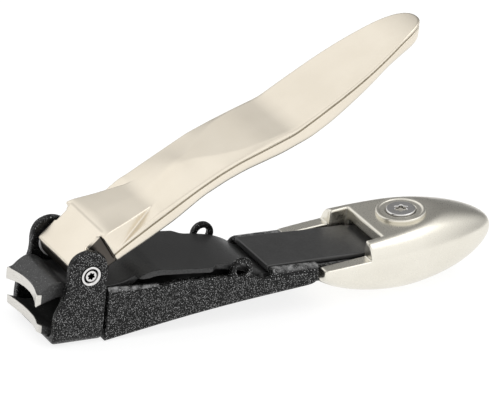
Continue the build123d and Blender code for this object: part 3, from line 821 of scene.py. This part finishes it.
# ---- catcher tray ----
TRAY_HALF, TRAY_WALL = 7.7, 1.1
TRAY_INNER = TRAY_HALF - TRAY_WALL
TRAY_SIDE = outline(
    (3.5, 0.25), (22.4, 3.3, 18), (41.4, 5.15, 1.2), (42.3, 5.9, 0.6), (42.3, 8.5, 0.3),
    (33.7, 8.78, 0.4), (33.0, 7.3, 0.3), (31.6, 7.5, 0.6), (29.9, 8.35, 0.8), (23.4, 9.05, 2),
    (15.2, 9.3, 1), (13.2, 8.75, 0.6), (12.5, 9.25, 0.5), (9.5, 9.3, 1), (7, 9.38, 1),
    (3.5, 9.65, 0.3),
)
TRAY_INSIDE = outline(
    (0, 0.9), (3.5, 1.05), (22.4, 4.1, 18), (41, 6.0), (50, 6.4), (50, 20), (0, 20),
)
LUG_X, LUG_Z, LUG_RADIUS, LUG_HOLE = 27.72, 9.6, 2.05, 1.05
FOOT_FRONT, FOOT_REAR, FOOT_LOW = 25.75, 29.69, 7.5
# the bevel inside the front of the rim: a point on it, its normal in (y, z), where it ends, and
# how fast it runs out there
BEVEL_Y, BEVEL_Z, BEVEL_NORMAL = 6.9, 9.42, (0.6, 0.8)
BEVEL_REAR, BEVEL_RUNOUT = 13.6, 4
# the rounded shoulders beside the leaf: where they start, their height, how fast they fall, and
# the mean cosine of their slope
SHOULDER_X, SHOULDER_Y, SHOULDER_Z, SHOULDER_FALL, SHOULDER_COS = 32.9, 6.0, 8.74, 0.42, 0.85
# where the tray's painted highlight lightens the rim and the shoulders
HIGHLIGHT_RIM, HIGHLIGHT_SHOULDER_X, HIGHLIGHT_SHOULDER_Z = (3.4, 13.0), 33.8, (7.9, 8.3167)
# the hollow under the arms, the lip beside the leaf and the tabs between the tail's prongs
UNDER_ARM_X, UNDER_ARM_Z = 24, 7
LIP_X, LIP_Z, LIP_Y = 33.4, 7.7, 5.85
TAB_FRONT, TAB_REAR, TAB_LOW, TAB_TOP, TAB_INNER, TAB_OUTER = 38, 49, 5.5, 8.05, 5.87, 6.42


def tray_field(x, y, z):
    across = np.abs(y)
    from_lug = np.hypot(x - LUG_X, z - LUG_Z)
    foot = both(slab(x, FOOT_FRONT, FOOT_REAR), slab(z, FOOT_LOW, LUG_Z), 0.1)
    side = either(polygon(TRAY_SIDE, x, z), np.minimum(from_lug - LUG_RADIUS, foot), 0.4)
    body = both(side, across - TRAY_HALF, 0.42)
    bevel = (across - BEVEL_Y) * BEVEL_NORMAL[0] + (z - BEVEL_Z) * BEVEL_NORMAL[1]
    runout = bevel - BEVEL_RUNOUT * (x - BEVEL_REAR)
    body = both(body, np.where(x < BEVEL_REAR, bevel, runout), 0.12)
    crown = np.maximum(across - SHOULDER_Y, 0) ** 2 * SHOULDER_FALL + (z - SHOULDER_Z)
    body = both(body, np.where(x > SHOULDER_X, crown * SHOULDER_COS, -9), 0.2)
    cavity = both(polygon(TRAY_INSIDE, x, z), across - TRAY_INNER, 0.5)
    under_arm = np.maximum(across - TRAY_INNER, np.maximum(UNDER_ARM_X - x, z - UNDER_ARM_Z))
    lip = np.maximum(np.maximum(LIP_X - x, LIP_Z - z), LIP_Y - across)
    body = less(body, np.maximum(np.minimum(cavity, under_arm), -lip), 0.2)
    tab = both(slab(x, TAB_FRONT, TAB_REAR), slab(z, TAB_LOW, TAB_TOP), 0.15)
    tab = both(tab, slab(across, TAB_INNER, TAB_OUTER), 0.1)
    return less(np.minimum(body, tab), from_lug - LUG_HOLE, 0.22)


tray = surface("catcher_tray_shell", tray_field, (3.3, -7.9, 0), (49.2, 7.9, 11.8), 0.16)
# the tray's coat carries a painted highlight on its rim's front bevel and rear shoulders
finish_piece(tray, "tail", painted_rim_highlight(speckled), "catcher_tray")

# ---- rear leaf ----
LEAF_FRONT, LEAF_LOW, LEAF_TOP = 33.3, 7.75, 8.85
LEAF_FALL, LEAF_FALL_LENGTH = 0.3, 18
LEAF_HOLE = 1.4
LEAF_PLAN = plan_outline(
    (LEAF_FRONT, 5.7, 0.2), (39.5, 5.6, 2), (44, 5.4, 2), (53.8, 5.4, 0.3), (53.8, 5.0, 0.2),
    (65, 5.0),
)


def leaf_field(x, y, z):
    top = LEAF_TOP - LEAF_FALL * np.clip((x - LEAF_FRONT) / LEAF_FALL_LENGTH, 0, 1)
    body = both(both(z - top, LEAF_LOW - z, 0.2), polygon(LEAF_PLAN, x, y), 0.22)
    return less(body, np.hypot(x - ARM_HOLE_X, y) - LEAF_HOLE, 0.05)


leaf = surface("clamp_leaf", leaf_field, (33.1, -6, 7.5), (65.2, 6, 9.1), 0.14)
finish_piece(leaf, "tail", satin_black, "rear_leaf")

# ---- pieces that keep their CAD mesh ----
CAD_FINISH = {"bolster_insert": brass, "spacer_plate": nickel, "pivot_washers": nylon}
for node, material in CAD_FINISH.items():
    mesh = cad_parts[node].data
    mesh.materials.clear()
    mesh.materials.append(material)

# ---- floor, light and camera, in metres ----
scene = bpy.context.scene
scene.view_settings.view_transform = "Standard"
FLOOR_HALF = 6.0
FLOOR_TONE, FLOOR_ROUGH, FLOOR_GLOW = 0.26, 0.6, 0.8


def floor_material():
    """Pale floor that glows a little, so that its shadows stay faint."""
    material, shader, place = new_material("pale_floor")
    shader.inputs["Roughness"].default_value = FLOOR_ROUGH
    shader.inputs["Emission Color"].default_value = (1, 1, 1, 1)
    shader.inputs["Emission Strength"].default_value = FLOOR_GLOW
    clouds = noise(material, place, 0.004, 2)
    return recolour(material, ramp(material, clouds, (0.3, FLOOR_TONE), (0.7, FLOOR_TONE * 0.985)))


floor_corners = [
    (x * FLOOR_HALF, y * FLOOR_HALF, 0) for x, y in ((-1, -1), (1, -1), (1, 1), (-1, 1))
]
floor_mesh = bpy.data.meshes.new("floor")
floor_mesh.from_pydata(floor_corners, [], [(0, 1, 2, 3)])
floor_mesh.materials.append(floor_material())
floor = bpy.data.objects.new("floor", floor_mesh)
scene.collection.objects.link(floor)

WORLD_STRENGTH = 1.42
BACKDROP = 0.72             # what the camera sees past the floor: plain white, at that strength
world = bpy.data.worlds.new("studio")
scene.world = world
world.use_nodes = True


def studio_light():
    """White tent round the object, darker behind it towards the tail and near the horizon."""
    nodes, links = world.node_tree.nodes, world.node_tree.links
    x, y, z = separate(world, nodes.new("ShaderNodeTexCoord").outputs["Generated"])
    behind = ramp(
        world, fraction(world, x, -1, 1),
        (0.3, 0.84), (0.42, 0.84), (0.53, 0.66), (0.575, 0.56), (0.66, 0.19), (0.85, 0.13),
    )
    low = fraction(world, z, 0.02, 0.3)
    behind = mix(world, low, ramp(world, low, (0, 0.12), (1, 0.3)), behind)
    front = ramp(world, fraction(world, z, -1, 1), (0.5, 0.78), (0.8, 0.86), (0.96, 0.62))
    tailward = fraction(world, x, 0.64, 1)
    front = mix(world, tailward, front, ramp(world, tailward, (0, 0.42), (1, 0.36)))
    tent = mix(world, fraction(world, y, 0.15, 0.55), front, behind)
    backdrop = nodes.new("ShaderNodeRGB").outputs[0]
    backdrop.default_value = (BACKDROP, BACKDROP, BACKDROP, 1)
    seen = nodes.new("ShaderNodeLightPath").outputs["Is Camera Ray"]
    links.new(mix(world, seen, tent, backdrop), nodes["Background"].inputs["Color"])
    nodes["Background"].inputs["Strength"].default_value = WORLD_STRENGTH


studio_light()

look_at = Vector((-0.00022, 0, 0.0158))
lamp = bpy.data.lights.new("overhead", "AREA")
lamp.shape = "RECTANGLE"
lamp.size, lamp.size_y = 0.5, 0.45
lamp.energy = 0.9
overhead = bpy.data.objects.new("overhead", lamp)
overhead.location = (0.34, -0.14, 0.76)
overhead.rotation_euler = (look_at - overhead.location).to_track_quat("-Z", "Y").to_euler()
scene.collection.objects.link(overhead)

# the camera stands off from look_at along the third axis of the picture's right and up
CAMERA_DISTANCE = 0.7
camera_data = bpy.data.cameras.new("camera")
camera_data.sensor_width = 36
camera_data.lens = 307.9
camera_data.shift_x = -0.0283
camera_data.shift_y = 0.0064
camera_data.clip_end = 20
camera = bpy.data.objects.new("camera", camera_data)
right = Vector((0.8775, -0.4695, 0.0984))
up = Vector((0.1174, 0.4091, 0.9049))
back = right.cross(up).normalized()
up = back.cross(right).normalized()
right.normalize()
turn = Matrix((right, up, back)).transposed().to_4x4()
camera.matrix_world = Matrix.Translation(look_at + CAMERA_DISTANCE * back) @ turn
scene.collection.objects.link(camera)
scene.camera = camera
